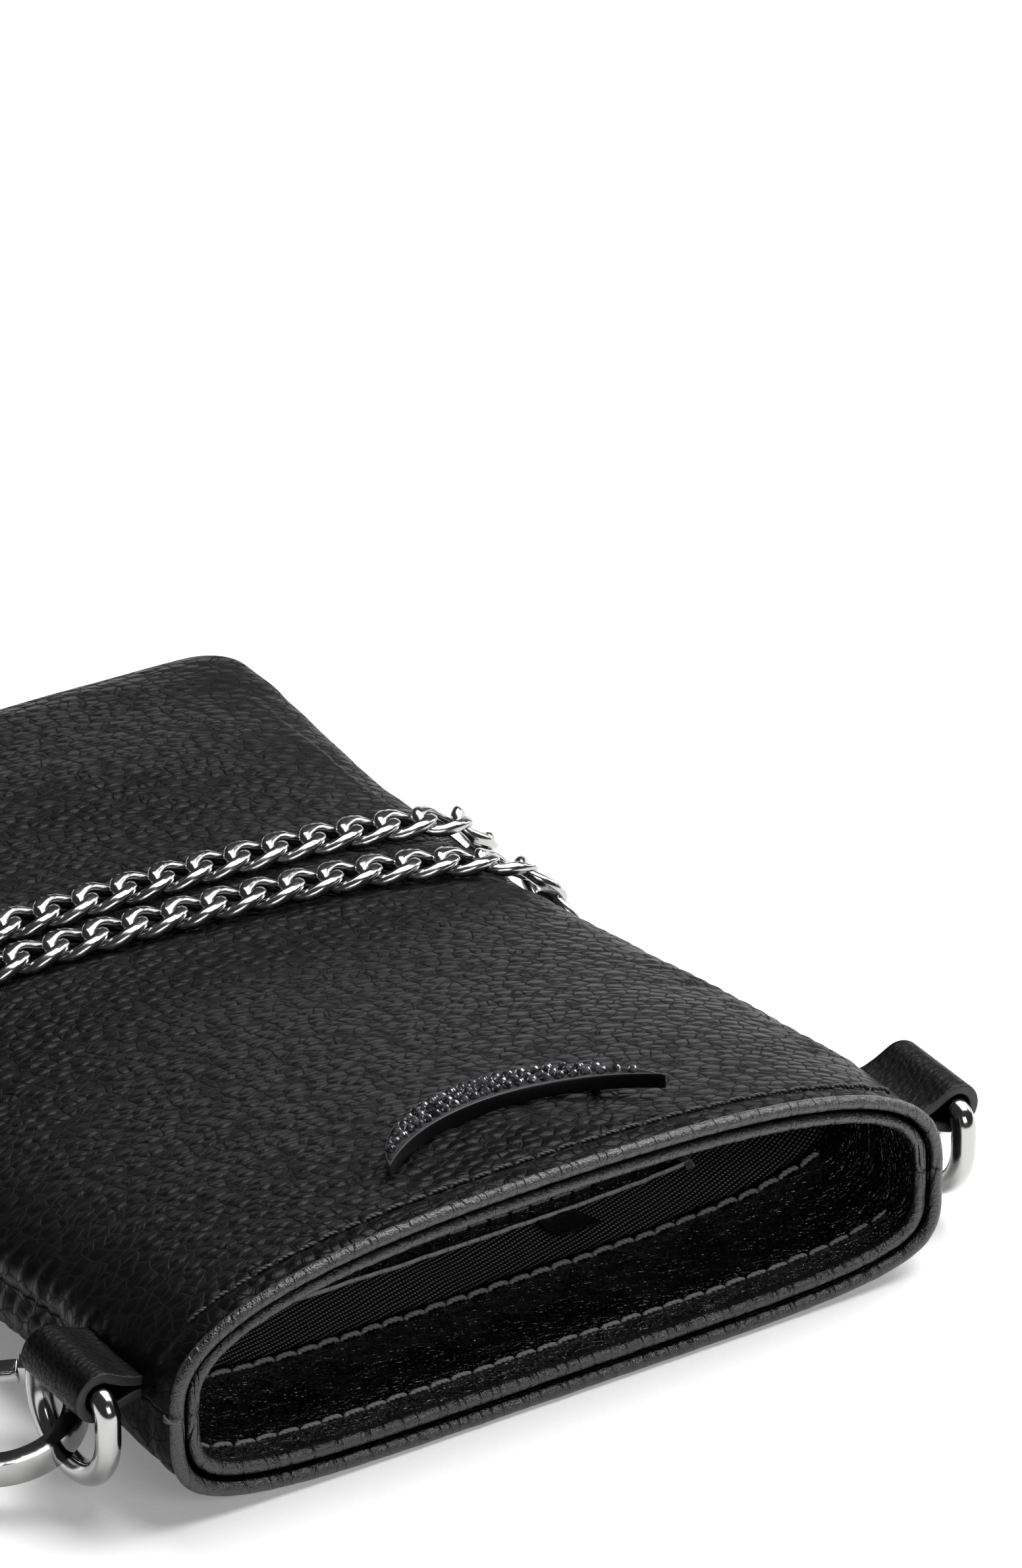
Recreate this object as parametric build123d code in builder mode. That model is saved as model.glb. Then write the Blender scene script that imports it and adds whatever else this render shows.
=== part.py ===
from build123d import *
import os
from math import atan2, copysign, cos, degrees, pi, radians, sin, sqrt, tan

os.makedirs("parts", exist_ok=True)

# A flat leather pouch, open at one short end, that carries its own wound chain strap.
# X runs along the mouth, Y from the mouth to the closed end, Z up. The origin is the
# middle of the pouch's base, on the surface that it lies on. Depths are measured from
# the mouth. All sizes are in millimetres.

# Pouch
pouch_length = 180.0
mouth_y = -pouch_length / 2
side_corner = 6.5
outline_half_width = 58.7
block_half_width = 70.0
block_top = 60.0
panel_thickness = 1.4
lining_inset = 1.6
lining_thickness = 0.5
lining_start = 20.8
facing_inset = 2.2
facing_thickness = 1.1
facing_depth = 23.0
outer_roll = 1.4
inner_roll = 1.2
inner_roll_inset = 3.5
bottom_power = 3.2

# Sections of the stuffed shape: depth, half width, seam height, top, bottom, roundness
sections = [
    (0, 56.2, 15.2, 32.1, 0.7, 2.7),
    (25, 57.6, 15.2, 28.7, -0.3, 2.1),
    (45, 57.9, 13.0, 25.1, -0.3, 2.0),
    (70, 57.4, 10.2, 20.4, -0.3, 1.95),
    (88, 57.0, 8.5, 17.1, -0.3, 2.0),
    (98, 56.6, 8.1, 15.4, 3.7, 2.05),
    (108, 56.2, 8.1, 14.6, 3.8, 2.1),
    (120, 56.0, 8.0, 13.8, 3.7, 2.2),
    (132, 56.6, 6.2, 12.8, -0.3, 2.3),
    (150, 57.6, 5.4, 11.4, -0.3, 2.4),
    (168, 58.6, 4.8, 8.8, -0.3, 2.4),
    (176, 58.7, 4.6, 7.6, 0.2, 2.4),
    (180, 58.7, 4.4, 5.8, 2.7, 2.4),
]

# Side loops and rings
ring_x = 62.3
ring_z = 16.6
ring_wire = 1.6
ring_bow = 8.3
ring_arm = 4.8
ring_bend = 2.1
loop_start = 7.6
loop_width = 13.4
loop_bore = 2.0
loop_outer = 3.4
loop_neck = 3.2
loop_drop = 1.1
ring_depth = loop_start + loop_width / 2

# Clasp: s runs along its axis from the centre of its round end, t across it
clasp_centre = (-67.1, 22.6 + mouth_y, 7.1)
clasp_yaw = 38.5
clasp_dip = 6.0
clasp_roll = 12.0
hoop_inner = 7.5
hoop_outer = 10.0
hoop_inner_neck = 4.0
hoop_outer_neck = 6.3
hoop_neck_s = 14.5
hoop_thickness = 3.4
gate_thickness = 2.0
gate_gap = 0.3
gate_root_s = 13.6
gate_reach = 13.8
gate_edge_t = 1.5
pivot = (14.6, -5.2)
knuckle_radius = 1.9
gate_pin_radius = 0.75
barrel_s = 20.2
barrel_length = 6.0
barrel_radius = 2.7
swivel_post = 1.0
swivel_running = 0.05
swivel_head = 1.7
swivel_room = 0.2
head_length = 1.6
eye_s = 29.6
eye_ring = 2.0
eye_wire = 0.7

# Plain links that join the chain on
clasp_link_ring = 2.5
clasp_link_s = 32.5
link_wire = 0.65
ring_link_ring = 5.6
ring_link_wire = 0.85
ring_link_depth = 21.0
ring_link_z = 5.6
ring_link_dip = 20.0

# Chain strap: x, depth and z of its route
chain_radius = 1.4
chain_route = [
    (-89.7, 51.1, 3.2),
    (-93.4, 57.6, 1.8),
    (-96.0, 66.0, 1.45),
    (-98.0, 77.0, 1.45),
    (-97.0, 89.0, 1.45),
    (-92.0, 100.3, 1.45),
    (-84.0, 108.6, 1.45),
    (-74.6, 112.8, 1.45),
    (-64.4, 113.8, 1.5),
    (-60.0, 113.7, 11.4),
    (-46.0, 113.5, 14.4),
    (-28.0, 113.2, 16.0),
    (-8.0, 112.9, 16.6),
    (14.0, 112.7, 16.5),
    (32.0, 112.5, 15.5),
    (46.0, 112.3, 13.9),
    (59.8, 112.1, 11.4),
    (59.9, 111.9, 1.5),
    (48.0, 111.4, 1.45),
    (28.0, 110.7, 1.45),
    (2.0, 108.9, 1.45),
    (-24.0, 106.9, 1.45),
    (-47.0, 105.8, 1.45),
    (-60.0, 105.2, 1.5),
    (-60.0, 104.9, 11.6),
    (-46.0, 104.7, 14.7),
    (-28.0, 104.4, 16.6),
    (-8.0, 103.5, 17.4),
    (14.0, 102.2, 17.3),
    (31.0, 101.3, 16.2),
    (45.0, 100.6, 14.7),
    (59.6, 98.6, 12.1),
    (62.8, 93.4, 3.8),
    (62.0, 84.0, 1.45),
    (61.0, 72.0, 1.45),
    (61.3, 58.5, 1.45),
    (60.9, 46.5, 1.45),
    (62.0, 36.0, 1.6),
    (62.3, 27.7, 3.0),
]

# Inside pocket
pocket_start = 33.0
pocket_end = 92.0
pocket_half_width = 38.7
pocket_thickness = 0.4
pocket_inset = 2.3
binding_depth = 4.0
label_x = 20.0
label_size = (6.6, 8.0, 0.35)
label_lift = 0.15
label_overlap = 2.5

# Ornament: a crescent, its two ends towards the mouth
ornament_depth = 11.5
ornament_x = 1.2
ornament_half_length = 20.0
ornament_rise = 14.5
ornament_inner_rise = 8.5
ornament_thickness = 2.0
ornament_lift = 0.35
ornament_tilt = 7.3
stone_radius = 0.7
stone_height = 0.7
stone_pitch = 1.6
stone_margin = 0.45
post_x = 14.0
post_radius = 0.6
post_length = 2.68
washer_radius = 1.9
washer_thickness = 0.4

# Stitches
stitch_size = (2.4, 0.5, 0.35)
stitch_stand = 0.55
stitch_pitch = 3.1
stitch_half_run = 49.6
mouth_stitch_depth = 6.2
facing_stitch_depth = 21.7
pocket_stitch_depth = 36.0
pocket_stitch_half_run = 34.1


def between(depth):
    """The section's half width, seam height, top, bottom and roundness at a depth."""
    depth = min(max(depth, sections[0][0]), sections[-1][0])
    for near, far in zip(sections, sections[1:]):
        if depth <= far[0]:
            share = (depth - near[0]) / (far[0] - near[0])
            return [a + share * (b - a) for a, b in zip(near[1:], far[1:])]


def arch(half_width, height, power, base, steps=10):
    """Points of half a superellipse, from the +X side over to the -X side."""
    points = []
    for i in range(steps + 1):
        turn = pi * i / steps
        x = half_width * copysign(abs(cos(turn)) ** (2 / power), cos(turn))
        points.append((x, base + height * sin(turn) ** (2 / power)))
    return points


def section_lines(depth, inset):
    """Draw the section's upper and lower halves, both from +X to -X."""
    width, seam, top, bottom, power = between(depth)
    upper = arch(width - inset, top - inset - seam, power, seam)
    lower = arch(width - inset, bottom + inset - seam, bottom_power, seam)
    return Spline(*upper), Spline(*lower)


def outline(inset):
    """A block of the plan's shape, with its two rounded corners at the closed end."""
    with BuildPart() as block:
        with BuildSketch(Plane.XY.offset(-1)):
            with Locations((0, -inset - side_corner)):
                Rectangle(2 * (outline_half_width - inset), pouch_length + 2 * side_corner)
            fillet(vertices().group_by(Axis.Y)[-1], side_corner - inset)
        extrude(amount=block_top)
    return block.part


def filled(inset, start, stop):
    """The solid that fills the pouch to a distance inside its outer surface."""
    inner_depths = [s[0] for s in sections if start + 2 < s[0] < stop - 1.5]
    with BuildPart() as body:
        for depth in [start, *inner_depths, stop]:
            with BuildSketch(Plane.XZ.offset(-depth - mouth_y)):
                with BuildLine():
                    section_lines(depth, inset)
                make_face()
        loft(ruled=True)
        add(outline(inset), mode=Mode.INTERSECT)
    return body.part


def seam_side(above):
    """A block of all that lies above, or below, the side seams' line."""
    far_z = block_top if above else -block_top
    with BuildPart() as block:
        with BuildSketch(Plane.YZ):
            with BuildLine():
                seam = [(s[0] + mouth_y, s[2]) for s in sections]
                end = block_half_width - 2 * mouth_y
                seam = [(-end, sections[0][2]), *seam, (end, sections[-1][2])]
                Polyline(*seam, (end, far_z), (-end, far_z), close=True)
            make_face()
        extrude(amount=block_half_width, both=True)
    return block.part


def roll(above, inset, radius):
    """The rounded turned edge along half of the mouth."""
    width, seam, top, bottom, power = between(0)
    power = power if above else bottom_power
    reach = (top - inset if above else bottom + inset) - seam
    rise = copysign(1, reach)
    with BuildPart() as bead:
        with BuildLine(Plane.XZ.offset(-radius - mouth_y)):
            Spline(*arch(width - inset, reach, power, seam))
        start = (width - inset, mouth_y + radius, seam)
        with BuildSketch(Plane(origin=start, x_dir=(1, 0, 0), z_dir=(0, 0, rise))):
            Circle(radius)
        sweep()
    return bead.part


def surface_z(x, depth, inset, above=True):
    """Height of a layer over a place on the plan."""
    width, seam, top, bottom, power = between(depth)
    power = power if above else bottom_power
    reach = (top - inset if above else bottom + inset) - seam
    return seam + reach * (1 - (abs(x) / (width - inset)) ** power) ** (1 / power)


# Leather panels with their turned edges
whole = filled(0, outer_roll, pouch_length)
inside = filled(panel_thickness, 0, pouch_length - panel_thickness)

with BuildPart() as front_panel:
    add(whole)
    add(inside, mode=Mode.SUBTRACT)
    add(seam_side(above=True), mode=Mode.INTERSECT)
    add(roll(True, panel_thickness / 2, outer_roll))

with BuildPart() as back_panel:
    add(whole)
    add(inside, mode=Mode.SUBTRACT)
    add(seam_side(above=False), mode=Mode.INTERSECT)
    with BuildSketch(Plane.XY):
        Rectangle(2 * block_half_width, 2 * pouch_length)
    extrude(amount=-block_top, mode=Mode.SUBTRACT)
    add(roll(False, panel_thickness / 2, outer_roll))

# Facing band inside the mouth
facing_outer = filled(facing_inset, inner_roll, facing_depth)
facing_inner = filled(facing_inset + facing_thickness, 0, facing_depth + 1)

with BuildPart() as front_facing:
    add(facing_outer)
    add(facing_inner, mode=Mode.SUBTRACT)
    add(seam_side(above=True), mode=Mode.INTERSECT)
    add(roll(True, inner_roll_inset, inner_roll))

with BuildPart() as back_facing:
    add(facing_outer)
    add(facing_inner, mode=Mode.SUBTRACT)
    add(seam_side(above=False), mode=Mode.INTERSECT)
    add(roll(False, inner_roll_inset, inner_roll))

# Fabric lining, closed at the far end
lining_outer = filled(lining_inset, lining_start, pouch_length - lining_inset)
lining_inner = filled(
    lining_inset + lining_thickness, 0, pouch_length - lining_inset - lining_thickness
)

with BuildPart() as front_lining:
    add(lining_outer)
    add(lining_inner, mode=Mode.SUBTRACT)
    add(seam_side(above=True), mode=Mode.INTERSECT)

with BuildPart() as back_lining:
    add(lining_outer)
    add(lining_inner, mode=Mode.SUBTRACT)
    add(seam_side(above=False), mode=Mode.INTERSECT)

# Slip pocket on the back wall, its leather binding and a blank woven label
pocket_outer = filled(pocket_inset, pocket_start - 2, pocket_end + 2)
pocket_inner = filled(pocket_inset + pocket_thickness, pocket_start - 4, pocket_end + 4)


def stretch(start, stop):
    """A block over the pocket's width between two depths."""
    with BuildPart() as block:
        with BuildSketch(Plane.XY.offset(-1)):
            with Locations((0, mouth_y + (start + stop) / 2)):
                Rectangle(2 * pocket_half_width, stop - start)
        extrude(amount=12)
    return block.part


with BuildPart() as card_pocket:
    add(pocket_outer)
    add(pocket_inner, mode=Mode.SUBTRACT)
    add(stretch(pocket_start + binding_depth, pocket_end), mode=Mode.INTERSECT)

with BuildPart() as pocket_binding:
    add(filled(pocket_inset, pocket_start - 2, pocket_end))
    add(filled(pocket_inset + 2 * pocket_thickness, pocket_start - 4, pocket_end + 2), mode=Mode.SUBTRACT)
    add(stretch(pocket_start, pocket_start + binding_depth), mode=Mode.INTERSECT)

label_z = surface_z(label_x, pocket_start, pocket_inset + 2 * pocket_thickness, above=False)
with BuildPart() as pocket_label:
    with BuildSketch(Plane.XY.offset(label_z + label_lift)):
        with Locations((label_x, mouth_y + pocket_start + label_overlap - label_size[1] / 2)):
            Rectangle(label_size[0], label_size[1])
    extrude(amount=label_size[2])


# Side loops and D rings
def side_loop(side):
    """A leather strip folded round the ring's bar, its ends going into the side seam."""
    centre = (side * ring_x, ring_z)
    with BuildPart() as loop:
        with BuildSketch(Plane.XZ.offset(-mouth_y - loop_start)):
            with Locations(centre):
                Circle(loop_outer)
            with Locations((side * (ring_x - loop_outer), ring_z - loop_drop)):
                Rectangle(2 * loop_outer, loop_neck)
            with Locations(centre):
                Circle(loop_bore, mode=Mode.SUBTRACT)
        extrude(amount=-loop_width)
        add(whole, mode=Mode.SUBTRACT)
        keep = loop.part.solids().sort_by(Axis.X)[-1 if side > 0 else 0]
    return keep


def d_ring(side):
    """A wire ring: a straight bar along Y, two arms and a round bow below."""
    middle = mouth_y + ring_depth
    bow_z = ring_z - ring_arm
    with BuildPart() as ring:
        with BuildLine(Plane.YZ.offset(side * ring_x)) as wire:
            bar = Polyline(
                (middle + ring_bow, bow_z),
                (middle + ring_bow, ring_z),
                (middle - ring_bow, ring_z),
                (middle - ring_bow, bow_z),
            )
            fillet(wire.vertices().group_by(Axis.Z)[-1], ring_bend)
            ThreePointArc(bar @ 1, (middle, bow_z - ring_bow), bar @ 0)
        foot = (side * ring_x, middle + ring_bow, bow_z)
        with BuildSketch(Plane(origin=foot, x_dir=(1, 0, 0), z_dir=(0, 0, 1))):
            Circle(ring_wire)
        sweep()
    return ring.part


loops = {name: side_loop(side) for name, side in (("left_loop", -1), ("right_loop", 1))}
rings = {name: d_ring(side) for name, side in (("left_ring", -1), ("right_ring", 1))}

# Clasp frame: its x runs along s, its y along t, its z along the clasp's normal
yaw = radians(clasp_yaw)
dip = radians(clasp_dip)
clasp_axis = Vector(-sin(yaw) * cos(dip), cos(yaw) * cos(dip), -sin(dip))
clasp_upright = Vector(-sin(yaw) * sin(dip), cos(yaw) * sin(dip), cos(dip))
clasp_normal = clasp_upright.rotate(Axis((0, 0, 0), clasp_axis), -clasp_roll)
clasp_plane = Plane(origin=clasp_centre, x_dir=clasp_axis, z_dir=clasp_normal)


def across_clasp(s):
    """A plane square to the clasp's axis."""
    return Plane(origin=clasp_plane.from_local_coords((s, 0, 0)), z_dir=clasp_axis)


def pear(wide, neck):
    """The pear shape round a wide circle and a smaller one at the neck."""
    with BuildSketch() as shape:
        Circle(wide)
        with Locations((hoop_neck_s, 0)):
            Circle(neck)
        make_hull()
    return shape.sketch


def gate_zone(reach, root_s):
    """The stretch of the hoop that swings: an arc round the pivot ends it."""
    with BuildSketch() as zone:
        with Locations(pivot):
            Circle(reach)
        with Locations(((root_s - hoop_outer) / 2, -hoop_outer)):
            Rectangle(root_s + hoop_outer, 2 * (hoop_outer - gate_edge_t), mode=Mode.INTERSECT)
    return zone.sketch


with BuildPart() as clasp_body:
    with BuildSketch(clasp_plane):
        add(pear(hoop_outer, hoop_outer_neck))
        add(pear(hoop_inner, hoop_inner_neck), mode=Mode.SUBTRACT)
        add(gate_zone(gate_reach + gate_gap, pivot[0]), mode=Mode.SUBTRACT)
        with Locations(pivot):
            Circle(knuckle_radius)
            Circle(gate_pin_radius, mode=Mode.SUBTRACT)
    extrude(amount=hoop_thickness / 2, both=True)
    with BuildSketch(clasp_plane):
        with Locations(pivot):
            Circle(knuckle_radius + gate_gap)
    extrude(amount=gate_thickness / 2 + gate_gap / 2, both=True, mode=Mode.SUBTRACT)
    with BuildSketch(across_clasp(barrel_s)):
        Circle(barrel_radius)
    extrude(amount=barrel_length)
    with BuildSketch(across_clasp(barrel_s + swivel_room)):
        Circle(swivel_head + swivel_room)
    extrude(amount=head_length + 2 * swivel_room, mode=Mode.SUBTRACT)
    with BuildSketch(across_clasp(barrel_s + 2 * swivel_room)):
        Circle(swivel_post + swivel_running)
    extrude(amount=barrel_length, mode=Mode.SUBTRACT)

with BuildPart() as clasp_gate:
    with BuildSketch(clasp_plane):
        add(pear(hoop_outer, hoop_outer_neck))
        add(pear(hoop_inner, hoop_inner_neck), mode=Mode.SUBTRACT)
        add(gate_zone(gate_reach, gate_root_s), mode=Mode.INTERSECT)
        with Locations(pivot):
            Circle(knuckle_radius)
            Circle(gate_pin_radius + swivel_running, mode=Mode.SUBTRACT)
    extrude(amount=gate_thickness / 2, both=True)

with BuildPart() as clasp_pin:
    with BuildSketch(clasp_plane):
        with Locations(pivot):
            Circle(gate_pin_radius)
    extrude(amount=hoop_thickness / 2, both=True)

with BuildPart() as clasp_swivel:
    with BuildSketch(across_clasp(barrel_s + 2 * swivel_room)):
        Circle(swivel_head)
    extrude(amount=head_length)
    with BuildSketch(across_clasp(barrel_s + 2 * swivel_room)):
        Circle(swivel_post)
    extrude(amount=eye_s - eye_ring - barrel_s - 2 * swivel_room)
    eye_centre = clasp_plane.from_local_coords((eye_s, 0, 0))
    with Locations(Plane(origin=eye_centre, x_dir=clasp_axis, z_dir=clasp_plane.y_dir)):
        Torus(eye_ring, eye_wire)

# Plain round links: one in the swivel's eye, one through the right D ring
with BuildPart() as clasp_link:
    link_centre = clasp_plane.from_local_coords((clasp_link_s, 0, 0))
    with Locations(Plane(origin=link_centre, x_dir=clasp_axis, z_dir=clasp_normal)):
        Torus(clasp_link_ring, link_wire)

with BuildPart() as ring_link:
    with Locations(Location((ring_x, mouth_y + ring_link_depth, ring_link_z), (-ring_link_dip, 0, 0))):
        Torus(ring_link_ring, ring_link_wire)

# Chain strap
route = [Vector(x, depth + mouth_y, z) for x, depth, z in chain_route]
radii = []
for before, corner, after in zip(route, route[1:], route[2:]):
    half_turn = radians((corner - before).get_angle(after - corner)) / 2
    shorter = min((corner - before).length, (after - corner).length)
    radii.append(0.45 * shorter / tan(half_turn))

with BuildPart() as chain_strap:
    with BuildLine() as strap_line:
        strap_path = FilletPolyline(*route, radius=radii)
    with BuildSketch(Plane(origin=route[0], z_dir=route[1] - route[0])):
        Circle(chain_radius)
    sweep()

strap_length = strap_path.length
print("chain length", round(strap_length, 1), "radii", [round(r, 1) for r in radii])
print("chain volume", round(chain_strap.part.volume), "of", round(pi * chain_radius**2 * strap_length))

# Ornament on the front panel
tilt = radians(ornament_tilt)
ornament_z = surface_z(ornament_x, ornament_depth, 0) + ornament_lift
ornament_plane = Plane(
    origin=(ornament_x, mouth_y + ornament_depth, ornament_z),
    x_dir=(1, 0, 0),
    z_dir=(0, sin(tilt), cos(tilt)),
)


def crescent_y(x, rise):
    """Height at x of the arc over the ornament's length."""
    arc = (ornament_half_length**2 + rise**2) / (2 * rise)
    return rise - arc + sqrt(arc**2 - x**2)


with BuildPart() as ornament_frame:
    with BuildSketch(ornament_plane):
        with BuildLine():
            tips = (-ornament_half_length, 0), (ornament_half_length, 0)
            ThreePointArc(tips[0], (0, ornament_rise), tips[1])
            ThreePointArc(tips[0], (0, ornament_inner_rise), tips[1])
        make_face()
    extrude(amount=ornament_thickness)

stone_places = []
columns = int(ornament_half_length / stone_pitch)
for column in range(-columns, columns + 1):
    x = column * stone_pitch
    low, high = crescent_y(x, ornament_inner_rise), crescent_y(x, ornament_rise)
    rows = int((high - low - 2 * stone_margin) / (2 * stone_radius))
    for row in range(rows):
        stone_places.append((x, low + (high - low) * (row + 1) / (rows + 1), ornament_thickness))

with BuildPart(ornament_plane) as ornament_stones:
    with Locations(*stone_places):
        Cone(
            stone_radius,
            stone_radius / 2,
            stone_height,
            align=(Align.CENTER, Align.CENTER, Align.MIN),
        )

post_y = (crescent_y(post_x, ornament_inner_rise) + crescent_y(post_x, ornament_rise)) / 2
with BuildPart() as ornament_posts:
    with BuildSketch(ornament_plane):
        with Locations((-post_x, post_y), (post_x, post_y)):
            Circle(post_radius)
    extrude(amount=-post_length)

with BuildPart() as ornament_washers:
    with BuildSketch(ornament_plane.offset(-post_length)):
        with Locations((-post_x, post_y), (post_x, post_y)):
            Circle(washer_radius)
            Circle(post_radius, mode=Mode.SUBTRACT)
    extrude(amount=washer_thickness)


def stitch_row(depth, inset, above, outward, half_run):
    """A row of stitches across a layer, on its outer or its inner face."""
    count = int(2 * half_run / stitch_pitch) + 1
    places = []
    for i in range(count):
        x = (i - (count - 1) / 2) * stitch_pitch
        z = surface_z(x, depth, inset, above)
        rise = surface_z(x + 1, depth, inset, above) - surface_z(x - 1, depth, inset, above)
        lift = outward * (1 if above else -1) * stitch_size[2] * stitch_stand
        places.append(Location((x, depth + mouth_y, z + lift), (0, -degrees(atan2(rise, 2)), 0)))
    with BuildPart() as row:
        with Locations(*places):
            Box(*stitch_size)
    return row.part


facing_face = facing_inset + facing_thickness
pocket_face = pocket_inset + 2 * pocket_thickness
stitches = {
    "front_mouth_stitches": stitch_row(mouth_stitch_depth, 0, True, 1, stitch_half_run),
    "back_mouth_stitches": stitch_row(mouth_stitch_depth, 0, False, 1, stitch_half_run),
    "front_facing_stitches": stitch_row(facing_stitch_depth, facing_face, True, -1, stitch_half_run),
    "back_facing_stitches": stitch_row(facing_stitch_depth, facing_face, False, -1, stitch_half_run),
    "pocket_stitches": stitch_row(pocket_stitch_depth, pocket_face, False, -1, pocket_stitch_half_run),
}

pieces = {
    "front_panel": front_panel.part,
    "back_panel": back_panel.part,
    "front_facing": front_facing.part,
    "back_facing": back_facing.part,
    "front_lining": front_lining.part,
    "back_lining": back_lining.part,
    "card_pocket": card_pocket.part,
    "pocket_binding": pocket_binding.part,
    "pocket_label": pocket_label.part,
    "clasp_body": clasp_body.part,
    "clasp_gate": clasp_gate.part,
    "clasp_pin": clasp_pin.part,
    "clasp_swivel": clasp_swivel.part,
    "clasp_link": clasp_link.part,
    "ring_link": ring_link.part,
    "chain_strap": chain_strap.part,
    "ornament_frame": ornament_frame.part,
    "ornament_stones": ornament_stones.part,
    "ornament_posts": ornament_posts.part,
    "ornament_washers": ornament_washers.part,
    **loops,
    **rings,
    **stitches,
}
for name, piece in pieces.items():
    piece.label = name
    export_step(piece, f"parts/{name}.step")
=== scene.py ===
import math

import bpy
import numpy as np
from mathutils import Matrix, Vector, noise


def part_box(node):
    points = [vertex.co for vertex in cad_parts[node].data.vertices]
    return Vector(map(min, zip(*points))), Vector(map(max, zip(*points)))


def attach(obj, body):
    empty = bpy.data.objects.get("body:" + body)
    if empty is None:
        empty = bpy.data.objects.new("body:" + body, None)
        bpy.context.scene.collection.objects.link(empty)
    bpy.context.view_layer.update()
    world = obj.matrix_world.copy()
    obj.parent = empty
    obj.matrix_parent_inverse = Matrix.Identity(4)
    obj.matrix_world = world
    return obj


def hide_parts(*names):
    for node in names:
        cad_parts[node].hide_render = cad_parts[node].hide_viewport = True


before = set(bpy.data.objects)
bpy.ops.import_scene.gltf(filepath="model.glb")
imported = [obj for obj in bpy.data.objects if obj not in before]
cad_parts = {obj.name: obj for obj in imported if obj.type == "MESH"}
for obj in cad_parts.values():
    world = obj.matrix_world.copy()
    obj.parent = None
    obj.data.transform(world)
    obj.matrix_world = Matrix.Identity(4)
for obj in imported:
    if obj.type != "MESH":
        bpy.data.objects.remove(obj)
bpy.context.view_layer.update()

# All shapes are worked out in millimetres in the part's frame, and made in metres.
MM = 0.001
MOUTH_Y = -90.0
LENGTH = 180.0
POUCH = "pouch"
# How close to the table a soft or loose piece may come.
TABLE_GAP = 0.02


def dial(node, values):
    """Constant values for a node's inputs, by the inputs' names."""
    for name, value in values.items():
        node.inputs[name].default_value = value


# ---------------------------------------------------------------- camera and light
def make_camera():
    """The photograph's viewing angle, through a long lens."""
    azimuth, elevation, distance = math.radians(-32.617), math.radians(29.227), 1.3873
    target = Vector((76.19, 42.98, 0.0)) * MM
    back = Vector(
        (
            math.sin(azimuth) * math.cos(elevation),
            -math.cos(azimuth) * math.cos(elevation),
            math.sin(elevation),
        )
    )
    data = bpy.data.cameras.new("camera")
    data.lens = 234.7
    data.sensor_width = 36
    data.clip_start = 0.05
    data.clip_end = 30
    camera = bpy.data.objects.new("camera", data)
    bpy.context.scene.collection.objects.link(camera)
    camera.location = target + back * distance
    camera.rotation_euler = (-back).to_track_quat("-Z", "Y").to_euler()
    bpy.context.scene.camera = camera


make_camera()


def area_light(name, place, aim, size, power):
    """A rectangular soft light at a place, aimed at a point, in metres and watts."""
    data = bpy.data.lights.new(name, "AREA")
    data.shape = "RECTANGLE"
    data.size, data.size_y = size
    data.energy = power
    light = bpy.data.objects.new(name, data)
    light.location = place
    light.rotation_euler = (Vector(aim) - Vector(place)).to_track_quat("-Z", "Y").to_euler()
    bpy.context.scene.collection.objects.link(light)


def make_light():
    """A large soft light overhead and to the right, a weak fill in front and a weak light at the right."""
    world = bpy.data.worlds.new("studio")
    world.use_nodes = True
    dial(world.node_tree.nodes["Background"], {"Color": (1, 1, 1, 1), "Strength": 0.05})
    bpy.context.scene.world = world
    area_light("overhead", (0.6, 0.15, 1.25), (0.0, 0.0, 0.0), (1.5, 1.2), 36)
    area_light("front_fill", (-0.1, -1.3, 0.75), (0.0, -0.05, 0.0), (0.7, 0.45), 4.5)
    area_light("right_side", (1.3, 0.2, 0.5), (0.0, 0.0, 0.0), (0.6, 0.6), 5)
    bpy.context.scene.view_settings.view_transform = "Standard"
    bpy.context.scene.view_settings.look = "None"


make_light()


# ---------------------------------------------------------------- materials
# How far apart a wave texture's bands are at scale 1, in metres.
WAVE_PERIOD = 0.314


def new_material(name):
    """A material with its node tree's tools: (material, nodes, link function, shader)."""
    material = bpy.data.materials.new(name)
    material.use_nodes = True
    tree = material.node_tree
    shader = tree.nodes["Principled BSDF"]
    return material, tree.nodes, tree.links.new, shader


def math_node(nodes, link, operation, a, b=None):
    """The output of a Math node whose inputs are sockets or numbers."""
    node = nodes.new("ShaderNodeMath")
    node.operation = operation
    for i, value in enumerate((a, b)):
        if value is None:
            continue
        if isinstance(value, (int, float)):
            node.inputs[i].default_value = value
        else:
            link(value, node.inputs[i])
    return node.outputs[0]


def add_part(nodes, link, total, value, share):
    """A height plus a share of another."""
    return math_node(nodes, link, "ADD", total, math_node(nodes, link, "MULTIPLY", value, share))


def map_range(nodes, link, value, low, high, to_low=0.0, to_high=1.0):
    """A smooth step from one pair of values to another."""
    node = nodes.new("ShaderNodeMapRange")
    node.interpolation_type = "SMOOTHSTEP"
    link(value, node.inputs["Value"])
    dial(node, {"From Min": low, "From Max": high, "To Min": to_low, "To Max": to_high})
    return node.outputs["Result"]


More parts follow.
